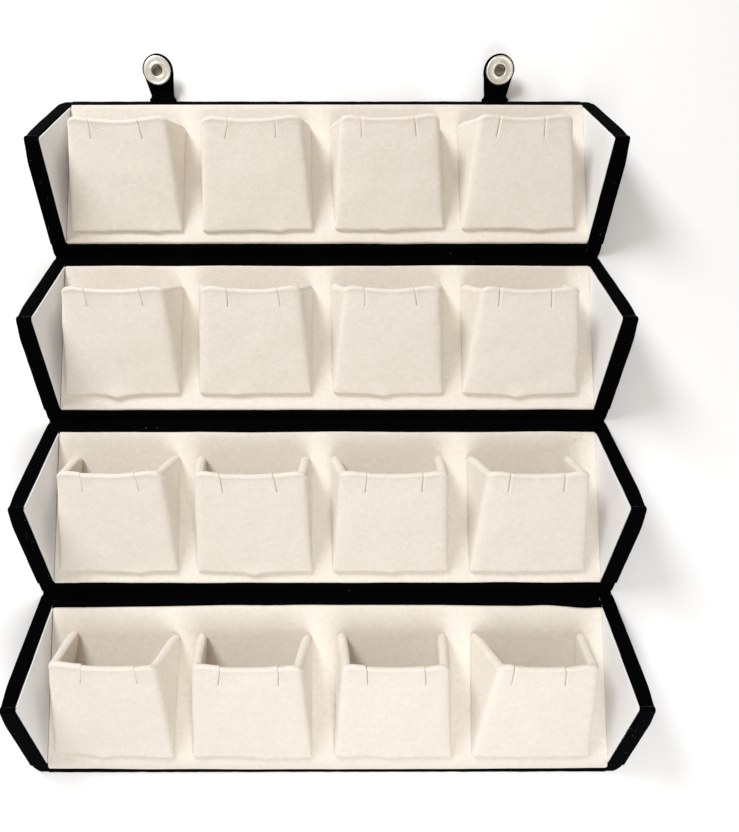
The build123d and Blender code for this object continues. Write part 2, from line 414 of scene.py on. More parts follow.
# Hinges. Between two boards the back velvet has no card behind it, so that it bends. A second strip
# of velvet is glued on inside: it goes down one board's edge, over the bend and up the other.
cap_foot_low, cap_foot_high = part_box("section_2_end_cap_left")
insert_low, insert_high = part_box("section_2_insert")
hinge_half_width = section_half_pitch - cover_half_width
hinge_slack = 0.00006
notch_slack = 0.00012
notch_half_width = section_half_pitch - (cap_foot_high.y - cap_foot_low.y) / 2 - notch_slack
notch_end_gap = -0.0004
notch_shoulder = 0.0002
half_length = cad_high.x
valley_cloth = 0.0005
valley_lift = 0.00003
valley_gap = 0.0001
valley_reach = section_half_pitch - (insert_high.y - insert_low.y) / 2 - valley_gap
valley_radii = (0.0014, 0.0009, 0.0009, 0.0014)
valley_steps = (3, 2, 5, 2, 3)


def band(path, thickness):
    """The closed outline of a cloth of that thickness, to the left of a flat path."""
    outer, inner = [], []
    for index, point in enumerate(path):
        before, after = path[max(index - 1, 0)], path[min(index + 1, len(path) - 1)]
        along = (after - before).normalized()
        outer.append(point)
        inner.append(point + Vector((-along.y, along.x)) * thickness)
    return outer + inner[::-1]


def bending_piece(name, rings):
    """A strip of velvet at a hinge between the two sections that it joins, fixed in place."""
    cloth = []
    for ring in rings:
        moved = [ripple(point, pile_ripple / 2, pile_ripple_size) for point in ring]
        cloth.append([Vector((ring[0].x, point.y, max(point.z, 0))) for point in moved])
    piece = add_piece(name, mesh_of_rings(name, cloth), black_velvet)
    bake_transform(piece)
    return piece


for joint in frame["joints"][:3]:
    hinge_y = joint["pos_m"][1]
    numbers = joint["name"].removeprefix("fold_")

    # Outer strip, level with the back, with a narrow tongue in the notch at each end
    shelf_end, tongue_end = board_high.x, half_length - notch_end_gap
    places = [-tongue_end, -shelf_end - notch_shoulder]
    places += stations(-shelf_end, shelf_end, cover_station)
    places += [shelf_end + notch_shoulder, tongue_end]
    rings = []
    for x in places:
        half_width = hinge_half_width - hinge_slack if abs(x) <= shelf_end else notch_half_width
        path = [Vector((hinge_y + y, 0)) for y in stations(-half_width, half_width, half_width / 6)]
        rings.append([Vector((x, y, z)) for y, z in band(path, velvet)])
    bending_piece(f"hinge_back_{numbers}", rings)

    # Inner strip, which lines the valley between two sections from insert to insert
    wall = hinge_half_width - valley_cloth - hinge_slack
    floor_z, shelf_z = velvet + valley_cloth + valley_lift, cover_top + valley_cloth + valley_lift
    corners = [(-valley_reach, shelf_z), (-wall, shelf_z), (-wall, floor_z)]
    corners += [(wall, floor_z), (wall, shelf_z), (valley_reach, shelf_z)]
    path = rounded_path(corners, valley_radii, valley_steps)
    outline = band([Vector((hinge_y + y, z)) for y, z in path], -valley_cloth)
    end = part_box(f"hinge_{numbers}_strip")[1].x
    rings = [[Vector((x, y, z)) for y, z in outline] for x in stations(-end, end, cover_station)]
    valley = bending_piece(f"hinge_valley_{numbers}", rings)
    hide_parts(f"hinge_{numbers}_strip")


# Inserts. A thin padded card covered in cream suede cloth lies on each back; its edges are soft and
# a little uneven, because the cloth is pulled round them by hand and glued behind.
insert_edge = 0.0009
insert_end_edge = 0.00035
insert_end_over = (-0.00012, 0.00018)
insert_station = 0.0022
insert_wave = 0.00025
insert_wave_size = 0.022
insert_rough = 0.3 * insert_wave
insert_rough_size = 0.0035
insert_sway = 0.00012
insert_sway_size = 0.013
insert_foot_slack = 0.0004
insert_over = {1: (0.0002, 0.0007), 2: (0.0005, 0.0), 3: (0.0003, 0.0002), 4: (0.0023, -0.0003)}
insert_over_middle = {1: (0.0, 0.0006), 2: (0.0001, 0.0), 3: (0.0001, 0.0), 4: (0.0008, 0.0011)}
insert_bulges = {4: ((0.0955, 0.0006, 0.0075), (0.1125, -0.0005, 0.0060))}
closing_slack = 0.00016
cream_light = (0.850, 0.792, 0.706, 1)
cream_shade = (0.750, 0.684, 0.592, 1)
smudge_colour = (0.66, 0.55, 0.33, 1)
smudge_inset = (0.009, 0.0026)
smudge_size = 0.0055


def make_cream_velvet(name, smudge=None):
    """Cream suede cloth with a fine nap, paler where the pile stands up."""
    material, tree, shader, place = new_material(
        name, 0.88, Specular_IOR_Level=0.18, Sheen_Weight=0.25, Sheen_Roughness=0.45
    )
    pile = add_node(
        tree,
        "ShaderNodeGroup",
        {"Vector": place, "Patch Scale": 420.0, "Grain Scale": 1500.0, "Patch Share": 0.45},
        node_tree=pile_group,
    )
    lean = ranged(tree, pile.outputs["Lean"], From_Min=0.32, From_Max=0.68)
    colour = mix_colour(tree, lean, cream_shade, cream_light)
    if smudge:
        spot, size = smudge
        away = add_node(tree, "ShaderNodeVectorMath", {0: place, 1: spot}, operation="DISTANCE")
        near = ranged(tree, away.outputs["Value"], From_Min=0.0, From_Max=size, To_Min=1.0, To_Max=0.0)
        broken = ranged(tree, cloud(tree, place, 900.0, 3.0), From_Min=0.5, From_Max=0.62)
        colour = mix_colour(tree, maths(tree, "MULTIPLY", near, broken), colour, smudge_colour)
    tree.links.new(colour, shader.inputs["Base Color"])
    add_bump(tree, shader, pile.outputs["Height"], 0.55, 0.0005)
    return material


def slab_rings(low, high, edge, end_edge, step):
    """Rings along X round a flat slab whose upper edges and ends are rounded."""
    rings = []
    turns = [pi / 2 * index / 4 for index in range(5)]
    quarter = [(edge * (1 - cos(turn)), edge * (1 - sin(turn))) for turn in turns]
    ends = [end_edge * (1 - cos(turn)) for turn in turns]
    places = [low.x + inset for inset in ends]
    places += stations(low.x + end_edge, high.x - end_edge, step)[1:-1]
    places += [high.x - inset for inset in reversed(ends)]
    for x in places:
        end_inset = min(x - low.x, high.x - x, end_edge)
        fall = end_edge - sqrt(max(end_edge**2 - (end_edge - end_inset) ** 2, 0))
        y_low, y_high = low.y + fall, high.y - fall
        top = high.z - fall
        ring = [Vector((x, y_high, low.z)), Vector((x, y_low, low.z))]
        ring += [Vector((x, y_low + aside, top - down)) for aside, down in quarter]
        ring += [Vector((x, y, top)) for y in stations(y_low + edge, y_high - edge, step)[1:-1]]
        ring += [Vector((x, y_high - aside, top - down)) for aside, down in quarter[::-1]]
        rings.append(ring)
    return rings


cream_velvet = make_cream_velvet("cream_velvet")
smudged_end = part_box("section_3_insert")[1]
smudge_place = (smudged_end.x - smudge_inset[0], smudged_end.y - smudge_inset[1], smudged_end.z)
cream_smudged = make_cream_velvet("cream_velvet_smudged", (smudge_place, smudge_size))

fibre_roots = {number: [] for number in sections}
for number in sections:
    low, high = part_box(f"section_{number}_insert")
    low.x, high.x = low.x - insert_end_over[0], high.x + insert_end_over[1]
    rings = slab_rings(low, high, insert_edge, insert_end_edge, insert_station)
    middle = (low.y + high.y) / 2
    half_width = (high.y - low.y) / 2
    for ring in rings:
        for index, point in enumerate(ring):
            side = 1 if point.y > middle else 0
            wave = noise.noise(Vector((point.x / insert_wave_size, number * 9.0, 0.5 if side else 7)))
            rough = noise.noise(Vector((point.x / insert_rough_size, number * 5.0, 2 if side else 4)))
            arch = max(0.0, 1 - (point.x / high.x) ** 2)
            over = insert_over[number][side] + insert_over_middle[number][side] * arch
            if side:
                for bulge_x, bulge, reach in insert_bulges.get(number, ()):
                    over += bulge * exp(-(((point.x - bulge_x) / reach) ** 2))
            pull = over * (1 if side else -1) + insert_wave * wave + insert_rough * rough
            moved = point + Vector((0, pull * ((point.y - middle) / half_width) ** 4, 0))
            to_mitre = section_half_pitch - closing_slack - abs(moved.y - middle)
            if point.z < low.z + 0.00001:
                moved.z = min(low.z, to_mitre - insert_foot_slack)
            elif point.z > high.z - 0.0001:
                moved.z += insert_sway * noise.noise(Vector((point.x, point.y, number)) / insert_sway_size)
            moved.z = min(moved.z, to_mitre)
            ring[index] = moved
    for index, outward in ((4, -1), (-3, 1)):
        mitred = (number, outward) in ((sections[0], 1), (sections[-1], -1))
        away = Vector((0, 0, 0.5)) if mitred else Vector((0, 0.55 * outward, 0.45))
        fibre_roots[number].append([(ring[index], away) for ring in rings[4:-4]])
    name = f"cream_insert_{number}"
    insert = add_piece(name, mesh_of_rings(name, rings), cream_smudged if number == 3 else cream_velvet)
    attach(insert, f"section_{number}")
    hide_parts(f"section_{number}_insert")


# End caps. A triangle of thick card in black velvet stands at each end of a section, mitred so that
# four caps close to a square; a strip of velvet covers one sloping edge and laps round the top.
mitre_gap = 0.0003
cap_edge = 0.0009
cap_apex_radius = 0.0019
cap_foot_radius = 0.00012
cap_padding = 0.0014
cap_padding_apex = 0.0005
cap_padding_reach = 0.012
cap_corner_reach = 0.0042
cap_corner_share = 0.62
cap_ripple = 0.00009
cap_ripple_size = 0.006
cap_slope = section_half_pitch - mitre_gap
cap_velvet_gap = 0.00015
cap_inner_share = 0.35
plate_least_radius = 0.0003
plate_steps = (12, 18, 18, 12)
plate_centre = 0.33
plate_scales = (0.85, 0.6, 0.35, 0.12, 0.01)
lap_thickness = 0.0004
lap_rise = 0.0001
lap_past_apex = 0.0026
lap_over_lining = 0.0007
lap_foot = 0.0045
lap_beyond = 0.008
lap_steps = (30, 12)
lap_points = 12
lap_flatness = 1.25
lap_tip_share = 0.12
lap_seed = 40


def triangle_outline(slope, floor_height, apex_radius, foot_radius):
    """Outline of a cap in (y, z) from the middle of its foot, round by the right."""
    foot = slope - floor_height
    corners = [(0, floor_height), (foot, floor_height), (0, slope), (-foot, floor_height), (0, floor_height)]
    return rounded_path(corners, [foot_radius, apex_radius, foot_radius], plate_steps)[:-1]


def plate_rings(inner_x, outer_x, slope, foot_z, edge, apex_radius, foot_radius, inner_share=1):
    """Rings of a triangular plate, with its rims rounded and its two faces closed to a point."""
    direction = 1 if outer_x > inner_x else -1
    thickness = abs(outer_x - inner_x)
    rims = [(edge * (1 - sin(pi / 2 * step / 4)), edge * (1 - cos(pi / 2 * step / 4))) for step in range(5)]
    levels = [(depth * inner_share, inset * inner_share) for inset, depth in rims]
    levels += [(thickness / 2, 0.0)]
    levels += [(thickness - depth, inset) for inset, depth in reversed(rims)]
    rings = []
    for depth, inset in levels:
        radius = max(apex_radius - inset, plate_least_radius)
        outline = triangle_outline(slope - inset * sqrt(2), foot_z + inset, radius, foot_radius)
        rings.append([Vector((inner_x + direction * depth, y, z)) for y, z in outline])
    centre_z = foot_z + (slope - foot_z) * plate_centre
    faces = []
    for ring in (rings[0], rings[-1]):
        x = ring[0].x
        faces.append([
            [Vector((x, point.y * scale, centre_z + (point.z - centre_z) * scale)) for point in ring]
            for scale in plate_scales
        ])
    return faces[0][::-1] + rings + faces[1]


def lap_rings(inner_x, outer_x, slope):
    """Rings of the strip that covers a cap's lower slope and ends, rounded, just past its apex."""
    apex_turn = [(-slope + lap_foot, lap_foot), (0, slope), (lap_beyond, slope - lap_beyond)]
    path = rounded_path(apex_turn, [cap_apex_radius], lap_steps, 8)
    lengths = [0.0]
    for before, after in zip(path, path[1:]):
        lengths.append(lengths[-1] + (after - before).length)
    apex_length = (Vector(apex_turn[1]) - Vector(apex_turn[0])).length
    end_length = apex_length + lap_past_apex
    middle_x, half = (inner_x + outer_x) / 2, abs(outer_x - inner_x) / 2
    rings = []
    for index, (point, length) in enumerate(zip(path, lengths)):
        if length > end_length:
            break
        before, after = path[max(index - 1, 0)], path[index + 1]
        along = (after - before).normalized()
        normal = Vector((-along.y, along.x))
        left = end_length - length
        tip = (lap_tip_share * half) ** 2
        narrow = half if left > half else sqrt(max(half**2 - (half - left) ** 2, tip))
        ring = []
        for step in range(lap_points):
            turn = 2 * pi * step / lap_points
            across = max(-1, min(1, lap_flatness * cos(turn))) * narrow
            height = lap_rise - lap_thickness / 2 + lap_thickness / 2 * sin(turn)
            where = point + normal * height
            ring.append(Vector((middle_x + across, where.x, where.y)))
        rings.append(ring)
    return rings


def padded(point, inner_x, outer_x, free_side):
    """A point of a cap, moved outwards as the padding under the velvet swells its outer face.

    At a free edge of the case the padding leaves the corner, which is round there.
    """
    share = (point.x - inner_x) / (outer_x - inner_x)
    if share <= 0:
        return point
    from_apex = min(hypot(point.y, cap_slope - point.z) / cap_padding_reach, 1)
    swell = cap_padding_apex + (cap_padding - cap_padding_apex) * from_apex**2 * (3 - 2 * from_apex)
    past = 1 - (cap_slope - point.y * free_side) / cap_corner_reach if free_side else 0
    kept = 1 - cap_corner_share * (1 - sqrt(1 - min(max(past, 0), 1) ** 2))
    thickness = outer_x - inner_x + swell * (1 if outer_x > inner_x else -1)
    return Vector((inner_x + thickness * share * kept, point.y, point.z))


def cap_cloth(rings, inner_x, outer_x, number, seed):
    """The rings of a cap or its strip, swollen by the padding, rippled and moved to their section."""
    middle = section_middle(number)
    free_side = {sections[0]: 1, sections[-1]: -1}.get(number, 0)
    placed = []
    for ring in rings:
        swollen = [padded(point, inner_x, outer_x, free_side) for point in ring]
        moved = [ripple(point, cap_ripple, cap_ripple_size, seed) for point in swollen]
        placed.append([Vector((point.x, point.y + middle, max(point.z, 0))) for point in moved])
    return placed


lap_ends = {number: [] for number in sections}
for number in sections:
    for side, side_name in ((-1, "left"), (1, "right")):
        low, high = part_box(f"section_{number}_end_cap_{side_name}")
        inner_x, outer_x = (high.x, low.x) if side < 0 else (low.x, high.x)
        seed = number * 2 + side
        rings = plate_rings(inner_x, outer_x, cap_slope - cap_velvet_gap, 0,
                            cap_edge, cap_apex_radius, cap_foot_radius, cap_inner_share)
        name = f"cap_velvet_{number}_{side_name}"
        rings = cap_cloth(rings, inner_x, outer_x, number, seed)
        cap = add_piece(name, mesh_of_rings(name, rings), black_velvet)
        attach(cap, f"section_{number}")
        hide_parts(f"section_{number}_end_cap_{side_name}")

        rings = lap_rings(inner_x - side * lap_over_lining, outer_x, cap_slope)
        rings = cap_cloth(rings, inner_x, outer_x, number, seed + lap_seed)
        lap_ends[number].append([(point, Vector((0, 0.4, 0.7))) for point in rings[-3][:7]])
        name = f"cap_strip_{number}_{side_name}"
        lap = add_piece(name, mesh_of_rings(name, rings), black_velvet)
        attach(lap, f"section_{number}")


# Linings. A triangle of smooth pale card is glued on the inner face of each cap, and hides where the
# velvet is turned over.
lining_edge = 0.00015
lining_foot_radius = 0.0012
lining_apex_radius = 0.0004
lining_warp = 0.00012
lining_warp_size = 0.016
lining_colours = (0.77, 0.765, 0.76, 1), (0.85, 0.845, 0.84, 1)
lining_relief = (1800.0, 2.0, 0.15, 0.0002)
lining_card = clouded_material(
    "lining_card", 0.7, 120.0, 6.0, lining_colours, lining_relief, Specular_IOR_Level=0.25
)[0]

for number in sections:
    middle = section_middle(number)
    for side, side_name in ((-1, "left"), (1, "right")):
        node_name = f"section_{number}_lining_{side_name}"
        low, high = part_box(node_name)
        inner_x, outer_x = (high.x, low.x) if side < 0 else (low.x, high.x)
        rings = plate_rings(inner_x, outer_x, high.z, low.z,
                            lining_edge, lining_apex_radius, lining_foot_radius)
        for ring in rings:
            for index, point in enumerate(ring):
                warp = lining_warp * noise.noise(Vector((point.y, point.z, number)) / lining_warp_size)
                ring[index] = Vector((point.x + side * (warp - lining_warp), point.y + middle, point.z))
        name = f"cap_lining_{number}_{side_name}"
        lining = add_piece(name, mesh_of_rings(name, rings), lining_card)
        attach(lining, f"section_{number}")
        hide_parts(node_name)


# Pockets. Each is a card folded to a wedge, open at the top, and covered in the same suede cloth,
# which is rolled over its edges. They are folded and glued down by hand, so no two are quite alike,
# and the cloth's seam pushes a small bump out of most bottom edges.
millimetre = 0.001
front_setback = 0.0069
pocket_lip = 0.0018
lip_round = 0.0009
lip_undercut = 0.0006
front_wall = 0.0024
wing_wall = 0.0042
crease_reach_front = 0.0044
crease_reach_wing = 0.0034
crease_fullness = 1.7
crease_steps = 7
wing_steps = 6
edge_dip = 0.0023
edge_roll = 0.00035
edge_roll_width = 0.0026
ear_sag = 0.0021
ear_round = 0.0017
ear_spread = 0.0010
ear_reach = {1: 0.0, 2: 0.0, 3: 0.0006, 4: 0.0015}
slit_length = 0.0085
slit_gap = 0.00003
slit_mouth = 0.00007
slit_border = 0.0006
slit_lift = 0.00055
slit_reach = 0.0030
slit_sink = 0.7 * slit_lift
bump_wide = 0.0065
bump_narrow = 0.0021
bump_fade = 13
bottom_uneven = 0.00035
bottom_uneven_size = 0.009
crown_half_width = 0.024
rim_round = 0.42
root_inset = 0.0002
front_steps = 26
pocket_step = 0.0017
pocket_foot_seat = 0.0015
front_crown = 0.0007
pocket_ripple = 0.00028
pocket_ripple_size = 0.012

# For each pocket, in millimetres and degrees from the middle of its place: how far it is shifted up
# and turned, its two bottom corners, the two corners of its top edge, its two ears, its two slits with
# how far each leans, and the place and depth of the bump
pocket_shapes = {
    (1, 1): (0.1, 0.3, -26.3, 24.0, -22.4, 21.2, -24.5, 24.3, -12.6, 0.3, 8.7, 1.2, 11.7, 0.6),
    (1, 2): (0.5, 1.1, -26.2, 24.0, -22.9, 20.5, -26.0, 23.3, -10.9, -2.4, 9.0, 0.0, 9.2, 1.2),
    (1, 3): (1.0, 0.8, -24.9, 24.9, -22.2, 20.5, -25.9, 23.5, -13.0, 0.2, 10.3, 0.8, -1.5, 1.1),
    (1, 4): (1.1, 0.2, -25.8, 26.0, -21.3, 19.3, -26.3, 22.5, -11.9, -1.4, 7.5, -0.1, 9.0, 0.9),
    (2, 1): (1.4, 0.0, -26.3, 24.7, -22.4, 21.0, -24.0, 24.6, -12.1, 0.3, 11.3, 0.9, -3.4, 2.4),
    (2, 2): (1.6, 0.1, -26.0, 24.1, -22.2, 19.9, -26.3, 23.9, -11.1, -0.1, 10.2, 1.0, -9.6, 0.9),
    (2, 3): (1.6, -0.1, -25.3, 23.6, -21.0, 19.5, -25.9, 23.5, -12.1, 0.1, 8.9, 1.4, -3.2, 1.7),
    (2, 4): (1.4, 0.1, -26.7, 24.3, -21.9, 19.6, -26.0, 21.5, -14.2, 0.1, 7.9, 0.5, -2.5, 1.9),
    (3, 1): (0.2, 0.0, -26.3, 25.2, -21.5, 21.6, -20.8, 24.3, -11.0, 0.0, 11.1, 1.2, 8.3, 1.5),
    (3, 2): (-0.2, 0.0, -25.6, 24.6, -23.8, 22.4, -25.6, 22.6, -13.0, 0.7, 8.9, 1.4, -1.2, 2.1),
    (3, 3): (-0.1, 0.1, -25.8, 24.5, -23.0, 21.6, -25.8, 22.3, -11.4, -0.8, 11.7, -0.4, -0.2, 1.0),
    (3, 4): (-0.1, 0.1, -25.3, 25.0, -21.1, 21.2, -24.6, 19.8, -11.5, -0.6, 10.9, 0.1, -7.1, 0.9),
    (4, 1): (-0.5, -2.4, -24.8, 25.8, -23.0, 20.3, -21.0, 25.2, -8.6, -1.5, 12.3, 0.7, -3.5, 1.3),
    (4, 2): (-1.2, -0.8, -25.8, 24.7, -23.8, 20.3, -24.3, 23.3, -11.8, -1.4, 11.1, -0.2, 5.2, 0.6),
    (4, 3): (-1.1, -0.4, -25.1, 24.9, -22.5, 20.6, -22.8, 22.5, -12.2, 0.4, 11.1, 0.5, -1.0, 0.8),
    (4, 4): (-1.2, 0.0, -25.8, 24.2, -18.6, 21.9, -24.8, 23.0, -12.0, -0.9, 8.6, 0.2, 4.0, 0.3),
}


def front_places(start, end, slits):
    """Places across a front, with one narrow span at each slit, and the numbers of those spans."""
    marks = [start]
    for slit in slits:
        marks += [slit - slit_gap / 2 - slit_border, slit - slit_gap / 2]
        marks += [slit + slit_gap / 2, slit + slit_gap / 2 + slit_border]
    marks.append(end)
    places, spans = [start], []
    for before, after in zip(marks, marks[1:]):
        if after - before < slit_border / 2:
            spans.append(len(places) - 1)
            places.append(after)
        else:
            places += stations(before, after, pocket_step)[1:]
    return places, spans


def pocket_rows(bottom_y, base_z, front_y, top_z):
    """Points (y, z) up the middle of a front, each with its share of the way from lip to top edge."""
    lip = Vector((bottom_y, base_z + pocket_lip))
    top = Vector((front_y, top_z))
    under = Vector((bottom_y + lip_undercut, base_z + 0.00008))
    foot = Vector((bottom_y, base_z + lip_undercut))
    path = rounded_path([under, foot, lip, top], [0.0004, lip_round], [1, 1, front_steps], 4)
    lip_rows = len(path) - front_steps
    length = (top - lip).length
    rows = [(0.0, point) for point in path[:lip_rows]]
    upper = [((point - lip).length / length, point) for point in path[lip_rows:]]
    for back in (0.0006, 0.0012, slit_length - 0.0005, slit_length, slit_length + 0.0005):
        share = 1 - back / length
        upper.append((share, lip.lerp(top, share)))
    return rows + sorted(upper, key=lambda row: row[0]), lip_rows


def folded_line(foot, crease, far_crease):
    """Points from a wing's foot up to its soft crease and round it on to the front."""
    back, forward = foot - crease, far_crease - crease
    enter = crease + back.normalized() * min(crease_reach_wing, 0.55 * back.length)
    leave = crease + forward.normalized() * crease_reach_front
    line = [foot.lerp(enter, step / wing_steps) for step in range(wing_steps + 1)]
    for step in range(1, crease_steps + 1):
        turn = step / crease_steps
        weights = ((1 - turn) ** 2, 2 * crease_fullness * turn * (1 - turn), turn**2)
        curve = enter * weights[0] + crease * weights[1] + leave * weights[2]
        line.append(curve / sum(weights))
    return line


def pocket_mesh(name, low, high, seed, shape, reach):
    """The folded shell of one pocket, a grid of rows up the front, and the places along its rim."""
    rise, turn, *places = shape
    corner_l, corner_r, top_l, top_r, ear_l, ear_r = [place * millimetre for place in places[:6]]
    ear_l, ear_r = ear_l - ear_spread, ear_r + ear_spread
    slit_l, lean_l, slit_r, lean_r, bump_place, bump_drop = [place * millimetre for place in places[6:]]
    front_y = high.y - front_setback
    rows, lip_rows = pocket_rows(low.y, low.z, front_y, high.z)
    start, end = top_l + crease_reach_front, top_r - crease_reach_front

    # A slit's column is found from its lower end, because the columns lean with the creases
    slit_share = 1 - slit_length / hypot(front_y - low.y, high.z - low.z - pocket_lip)
    start_below = corner_l + (top_l - corner_l) * slit_share + crease_reach_front
    end_below = corner_r + (top_r - corner_r) * slit_share - crease_reach_front
    cuts, shifts = [], []
    for slit, lean in ((slit_l, lean_l), (slit_r, lean_r)):
        cuts.append(start + (end - start) * (slit + lean - start_below) / (end_below - start_below))
        shifts.append(slit - cuts[-1])
    front, slits = front_places(start, end, cuts)
    shares = [(place - start) / (end - start) for place in front]
    grid = []
    for share, (y, z) in rows:
        foot_y = low.y + pocket_foot_seat + (high.y + reach - low.y - pocket_foot_seat) * share
        creases, feet = [], []
        for corner, top, ear in ((corner_l, top_l, ear_l), (corner_r, top_r, ear_r)):
            creases.append(Vector((corner + (top - corner) * share, y, z)))
            feet.append(Vector((corner + (ear - corner) * share, foot_y, low.z)))
        left = folded_line(feet[0], creases[0], creases[1])
        right = folded_line(feet[1], creases[1], creases[0])
        middle = [left[-1].lerp(right[-1], column) for column in shares]
        grid.append(left[:-1] + middle + right[:-1][::-1])
    columns, first = len(grid[0]), wing_steps + crease_steps
    slit_columns = [first + span for span in slits]
    slit_row = next(index for index, (share, _) in enumerate(rows) if share >= slit_share)
    half = (top_r - top_l) / 2

    # The top edge dips, the ears are rounded, and each slit has one lifted side
    up = Vector((0, front_y - low.y, high.z - low.z - pocket_lip)).normalized()
    out = Vector((0, -up.z, up.y))
    for index, (share, _) in enumerate(rows):
        near_top = max(0.0, (share - 0.55) / 0.45) ** 2
        open_share = max(0.0, (share - slit_share) / (1 - slit_share))
        slit_places = [grid[index][column].x for column in slit_columns]
        for column, point in enumerate(grid[index]):
            wing = min(column, columns - 1 - column)
            across = (point.x - (top_l + top_r) / 2) / half
            dip = edge_dip * max(0.0, 1 - across**2) if wing >= wing_steps else 0
            sag = ear_sag * sin(pi * wing / first) if wing < first else 0
            sag += ear_round * max(0.0, 1 - wing / 2) ** 2
            away = abs(point.x - bump_place)
            bump = bump_drop * (0.55 * exp(-away / bump_wide) + 0.45 * exp(-((away / bump_narrow) ** 2)))
            uneven = bottom_uneven * noise.noise(Vector((point.x / bottom_uneven_size, seed * 3.0, 0)))
            crown = front_crown * sin(pi * share) * max(0.0, 1 - (across * half / crown_half_width) ** 2)
            moved = point - up * (dip + sag) * near_top + out * crown
            moved.y -= (bump + uneven) * max(0.0, 1 - share * bump_fade)
            for slit, place, shift in zip(slit_columns, slit_places, shifts):
                side = -1 if column <= slit else 1
                near = exp(-abs(point.x - place) / slit_reach) * open_share if wing >= first else 0
                moved.x += near * (side * slit_mouth / 2 + shift)
                moved += out * near * (slit_lift if side > 0 else -slit_sink)
            grid[index][column] = moved

    def normal_at(row, column):
        down, above = grid[max(row - 1, 0)][column], grid[min(row + 1, len(grid) - 1)][column]
        left, right = grid[row][max(column - 1, 0)], grid[row][min(column + 1, columns - 1)]
        return (right - left).cross(above - down).normalized()

    # The cloth is rolled over the top edge, which makes it a little thicker there
    rolled = {}
    for row, (share, _) in enumerate(rows):
        below_edge = (1 - share) * (high.z - low.z) / up.z
        roll = edge_roll * max(0.0, 1 - below_edge / edge_roll_width) ** 2
        for column in range(columns):
            rolled[row, column] = grid[row][column] + normal_at(row, column) * roll
    for (row, column), point in rolled.items():
        grid[row][column] = point

    inner = []
    for row in range(len(grid)):
        line = []
        for column in range(columns):
            wing = min(column, columns - 1 - column)
            thick = min(1.0, max(0.0, (first - wing) / crease_steps))
            wall = front_wall + (wing_wall - front_wall) * thick * thick * (3 - 2 * thick)
            beside = -2 if column in slit_columns else 2 if column - 1 in slit_columns else 0
            point = grid[row][column] - normal_at(row, column + beside) * wall
            if row < lip_rows:
                point.z = min(point.z, low.z + 0.0006)
            point.z = max(point.z, low.z + 0.00002)
            line.append(point)
        inner.append(line)
    rim, roots = [], []
    for column in range(columns):
        outer_top, inner_top = grid[-1][column], inner[-1][column]
        rising = (outer_top - grid[-2][column]).normalized()
        rim.append((outer_top + inner_top) / 2 + rising * rim_round * (outer_top - inner_top).length)
        roots.append((outer_top + rim[-1]) / 2 - rising * root_inset)

    middle_x, middle_y = (low.x + high.x) / 2, (low.y + high.y) / 2
    placed = Matrix.Translation((middle_x, middle_y + rise * millimetre, 0))
    placed @= Matrix.Rotation(radians(turn), 4, "Z") @ Matrix.Translation((0, -middle_y, 0))
    points = [placed @ point for line in grid + inner + [rim] for point in line]
    depth, rim_start, top_row = len(grid) * columns, 2 * len(grid) * columns, (len(grid) - 1) * columns
    faces, edges = [], set()
    for row in range(len(grid) - 1):
        for column in range(columns - 1):
            if column in slit_columns and row >= slit_row:
                continue
            base, above = row * columns + column, (row + 1) * columns + column
            face = (base, base + 1, above + 1, above)
            faces += [face, tuple(index + depth for index in reversed(face))]
            edges.update(zip(face, face[1:] + face[:1]))
    for start, end in sorted(edges):
        if (end, start) in edges:
            continue
        if start >= top_row and end >= top_row:
            rim_a, rim_b = end - top_row + rim_start, start - top_row + rim_start
            faces.append((end, start, rim_b, rim_a))
            faces.append((rim_a, rim_b, start + depth, end + depth))
        else:
            faces.append((end, start, start + depth, end + depth))
            if end >= top_row:
                faces.append((end, end + depth, end - top_row + rim_start))
            elif start >= top_row:
                faces.append((start, start - top_row + rim_start, start + depth))
    return new_mesh(name, points, [], faces), [placed @ root for root in roots]


for (number, column), shape in pocket_shapes.items():
    node_name = f"section_{number}_pocket_{column}"
    low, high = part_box(node_name)
    seed = number * 4 + column
    name = f"suede_pocket_{number}_{column}"
    folded, roots = pocket_mesh(name, low, high, seed, shape, ear_reach[number])
    rim = [ripple(root, pocket_ripple, pocket_ripple_size, seed) for root in roots]
    fibre_roots[number].append([(root, Vector((0, -0.3, 0.7))) for root in rim])
    holder = add_object(name, folded)
    smooth = holder.modifiers.new("smooth", "SUBSURF")
    smooth.levels = smooth.render_levels = 1
    mesh = settled_mesh(holder)
    for vertex in mesh.vertices:
        point = ripple(vertex.co, pocket_ripple, pocket_ripple_size, seed)
        vertex.co = Vector((point.x, point.y, max(point.z, low.z + 0.00001)))
    pocket = add_piece(name, mesh, cream_velvet)
    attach(pocket, f"section_{number}")
    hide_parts(node_name)


# Straps. Two tabs of stiffened velvet are glued under the free edge of the first section's board,
# and close the case by their snaps, which lie in the round heads.
strap_thickness = 0.0014
strap_edge = 0.0005
strap_half_width = 0.0051
strap_bend = 0.0028
strap_root_inside = 0.0066
strap_edge_place = -0.0010
strap_flare_reach = 0.0022
strap_flare = 0.0014
strap_tilt = radians(26)
strap_step = 0.0003
strap_neck_end = 0.8
strap_head_start = 0.82
strap_flare_power = 2.5
strap_least_half = 0.0003
strap_ripple = 0.00006
strap_ripple_size = 0.003
socket_seat = 0.0009
neck_shift = {"left": 0.0016, "right": -0.0010}

socket_low, socket_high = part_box("snap_socket_left")
head_low, head_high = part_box("strap_left")
strap_head_radius = (head_high.x - head_low.x) / 2
strap_joints = {joint["child"].removeprefix("strap_"): joint for joint in frame["joints"][3:]}
strap_reach = (
    (socket_low.y + socket_high.y) / 2 - strap_joints["left"]["pos_m"][1]
) / cos(strap_tilt) + socket_seat * tan(strap_tilt)


